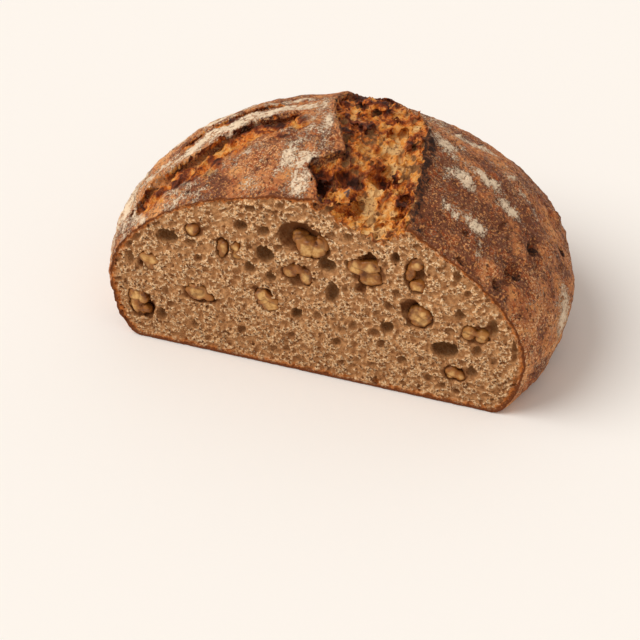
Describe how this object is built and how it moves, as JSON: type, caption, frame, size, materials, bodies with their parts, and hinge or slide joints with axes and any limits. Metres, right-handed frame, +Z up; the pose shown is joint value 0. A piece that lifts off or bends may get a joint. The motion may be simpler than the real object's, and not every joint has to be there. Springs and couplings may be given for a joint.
{
  "type": "sourdough loaf",
  "caption": "Domed sourdough loaf with walnuts in its crumb, its top torn open and one end sliced off, standing on its flat base.",
  "frame": {"origin": "under the middle of the loaf's box, on the surface that it rests on", "axes": "+Z up, +X along the cut face to its right as it is looked at, -Y out of the cut face, +Y to the loaf's round back"},
  "size_m": [0.216, 0.1404, 0.1078],
  "materials": {
    "loaf": "matte",
    "walnut": "satin"
  },
  "bodies": {
    "root": {"loaf": "loaf", "walnut_01": "walnut", "walnut_02": "walnut", "walnut_03": "walnut", "walnut_04": "walnut", "walnut_05": "walnut", "walnut_06": "walnut", "walnut_07": "walnut", "walnut_08": "walnut", "walnut_09": "walnut", "walnut_10": "walnut", "walnut_11": "walnut", "walnut_12": "walnut", "walnut_13": "walnut"}
  },
  "joints": []
}
